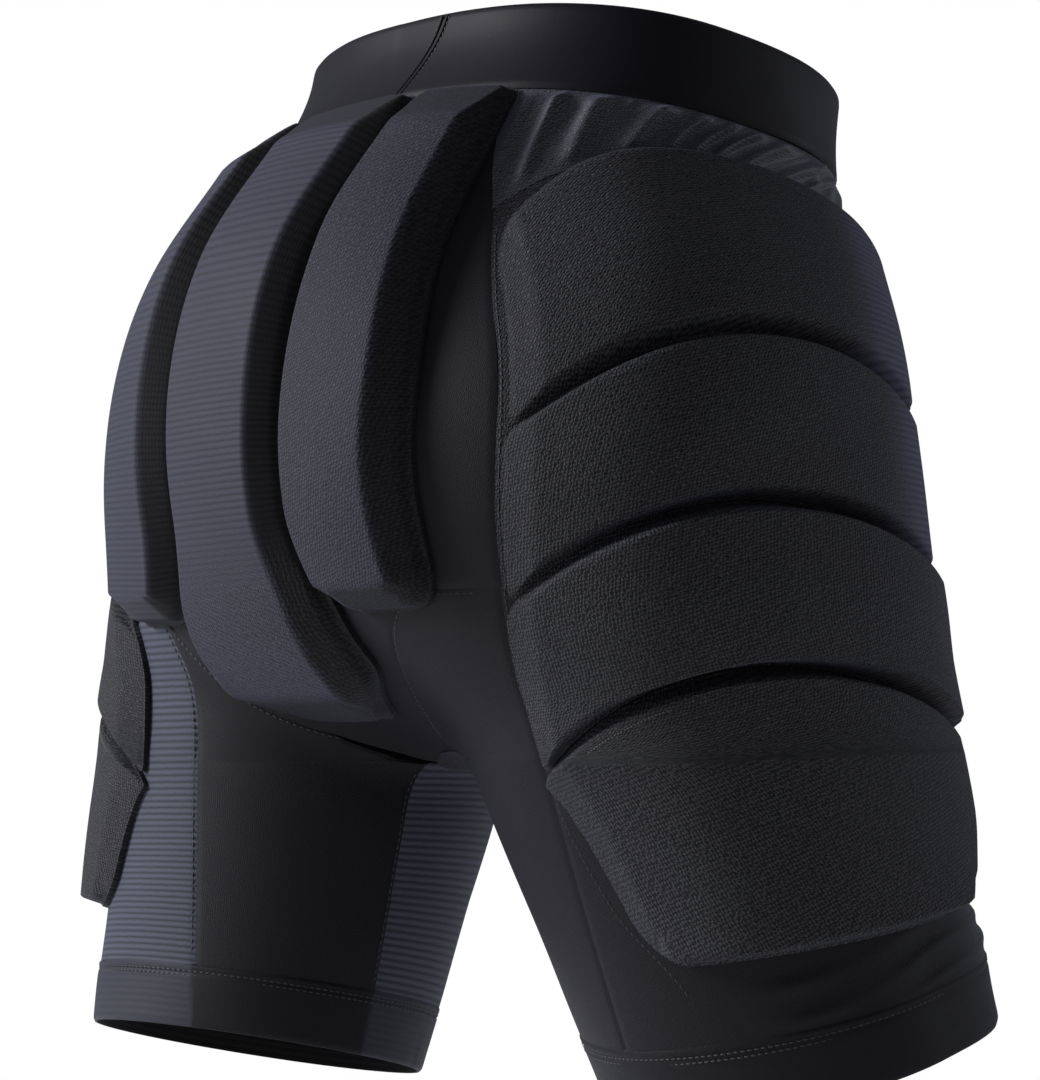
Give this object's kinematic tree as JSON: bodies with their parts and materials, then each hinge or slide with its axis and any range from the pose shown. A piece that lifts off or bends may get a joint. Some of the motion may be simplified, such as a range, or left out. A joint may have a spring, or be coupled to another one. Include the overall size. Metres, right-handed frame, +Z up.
{
  "type": "padded impact shorts",
  "caption": "Stretch shorts worn under ski or snowboard trousers, with segmented foam hip pads, seat pads and a tailbone pad",
  "frame": {"origin": "the middle of the wearer's waist, which the band grips; the band's upper rim passes 1 mm below it", "axes": "+Z up; the wearer faces -Y; the wearer's left is +X and right is -X"},
  "size_m": [0.4246, 0.2992, 0.4668],
  "materials": {
    "elastic": "smooth black woven elastic with a slight sheen",
    "smooth_knit": "thin smooth black stretch knit, satin",
    "ribbed_mesh": "dark navy-grey knit with fine ribs across the panel",
    "pad_mesh": "dark navy-grey fine mesh weave, matte",
    "crepe": "near-black crepe-like mesh weave, matte",
    "foam": "matte black closed-cell foam, hidden under the covers"
  },
  "bodies": {
    "pelvis": {"waistband": "elastic", "waistband_join": "elastic", "seat_panel": "smooth_knit", "crotch_gusset": "pad_mesh", "tailbone_pad_foam": "foam", "tailbone_pad_cover": "ribbed_mesh", "left_yoke": "smooth_knit", "left_side_panel": "crepe", "left_front_panel": "ribbed_mesh", "left_seat_pad_foam": "foam", "left_seat_pad_cover": "ribbed_mesh", "left_hip_1_foam": "foam", "left_hip_1_cover": "crepe", "left_hip_2_foam": "foam", "left_hip_2_cover": "crepe", "right_yoke": "smooth_knit", "right_side_panel": "crepe", "right_front_panel": "ribbed_mesh", "right_seat_pad_foam": "foam", "right_seat_pad_cover": "pad_mesh", "right_hip_1_foam": "foam", "right_hip_1_cover": "crepe", "right_hip_2_foam": "foam", "right_hip_2_cover": "crepe"},
    "left_thigh": {"left_hip_3_foam": "foam", "left_hip_3_cover": "crepe", "left_hip_4_foam": "foam", "left_hip_4_cover": "crepe", "left_back_thigh_panel": "smooth_knit", "left_outer_thigh_panel": "ribbed_mesh", "left_front_thigh_panel": "ribbed_mesh", "left_inner_thigh_panel": "ribbed_mesh", "left_leg_hem": "smooth_knit"},
    "right_thigh": {"right_hip_3_foam": "foam", "right_hip_3_cover": "crepe", "right_hip_4_foam": "foam", "right_hip_4_cover": "crepe", "right_back_thigh_panel": "smooth_knit", "right_outer_thigh_panel": "crepe", "right_front_thigh_panel": "ribbed_mesh", "right_inner_thigh_panel": "ribbed_mesh", "right_leg_hem": "smooth_knit"}
  },
  "joints": [
    {"name": "left_hip_swing", "type": "hinge", "parent": "pelvis", "child": "left_thigh", "pos_m": [0.094, 0.029, -0.185], "axis": [-1, 0, 0], "range_deg": [-4, 46], "stiffness_Nm_per_rad": 0.8, "deforming": ["seat_panel", "crotch_gusset", "left_side_panel", "left_front_panel", "left_hip_2_foam", "left_hip_2_cover", "left_hip_3_foam", "left_hip_3_cover", "left_back_thigh_panel", "left_outer_thigh_panel"]},
    {"name": "right_hip_swing", "type": "hinge", "parent": "pelvis", "child": "right_thigh", "pos_m": [-0.094, 0.029, -0.185], "axis": [-1, 0, 0], "range_deg": [-32.5, 17.5], "stiffness_Nm_per_rad": 0.8, "deforming": ["seat_panel", "crotch_gusset", "right_side_panel", "right_front_panel", "right_hip_2_foam", "right_hip_2_cover", "right_hip_3_foam", "right_hip_3_cover", "right_back_thigh_panel", "right_outer_thigh_panel"]}
  ]
}
